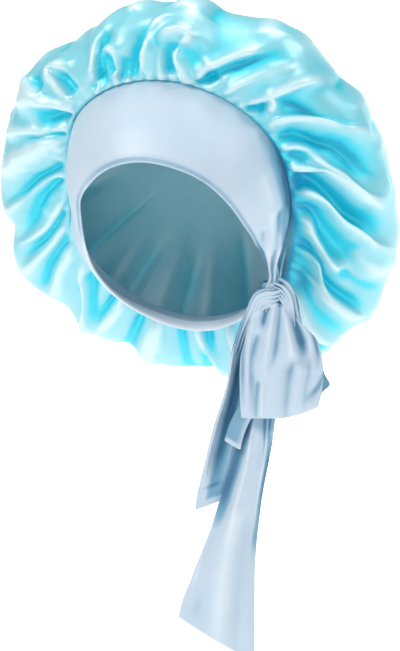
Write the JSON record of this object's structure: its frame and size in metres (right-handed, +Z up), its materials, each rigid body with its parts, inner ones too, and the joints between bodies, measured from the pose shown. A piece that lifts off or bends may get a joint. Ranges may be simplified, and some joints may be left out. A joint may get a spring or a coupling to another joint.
{
  "type": "sleep bonnet",
  "caption": "Puffy satin sleep bonnet gathered onto a wide stretch headband, knotted at one side with a hanging bow loop and tie tails.",
  "frame": {"origin": "middle of the head opening, where the bonnet sits on a head, halfway between the ears", "axes": "+X to the wearer's left, the knot's side; -Y forward, out of the face; +Z up"},
  "size_m": [0.3523, 0.2556, 0.5338],
  "materials": {
    "aqua_satin": "glossy satin weave",
    "pale_blue_jersey": "smooth brushed stretch knit"
  },
  "bodies": {
    "root": {"crown": "aqua_satin", "band": "pale_blue_jersey", "knot": "pale_blue_jersey", "bow_loop": "pale_blue_jersey", "tail_long": "pale_blue_jersey", "tail_short": "pale_blue_jersey"}
  },
  "joints": []
}
